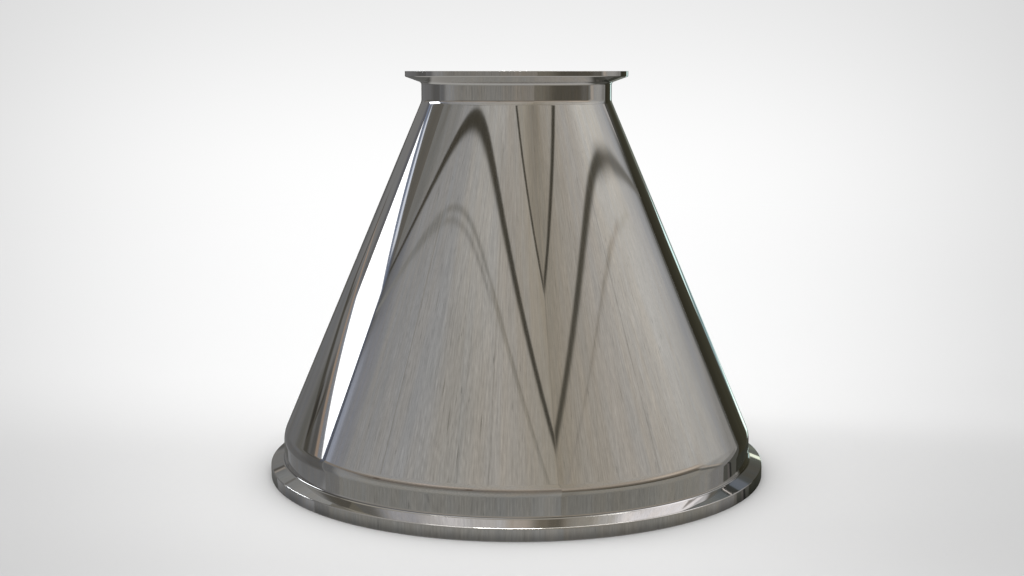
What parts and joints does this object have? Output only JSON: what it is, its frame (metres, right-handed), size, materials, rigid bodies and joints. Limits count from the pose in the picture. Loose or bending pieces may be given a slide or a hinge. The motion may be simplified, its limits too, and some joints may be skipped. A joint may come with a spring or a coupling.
{
  "type": "concentric pipe reducer",
  "caption": "Concentric pipe reducer: a polished conical steel shell with a short straight neck and a bevelled clamp rim at each end, joining a wide pipe to a narrow one.",
  "frame": {"origin": "centre of the large end's flat face, which the part stands on", "axes": "+Z along the flow axis, from the large end to the small end; +X and +Y are any two radii"},
  "size_m": [0.2684, 0.2684, 0.2159],
  "materials": {
    "polished_steel": "mirror-polished stainless steel"
  },
  "bodies": {
    "root": {"reducer_body": "polished_steel"}
  },
  "joints": []
}
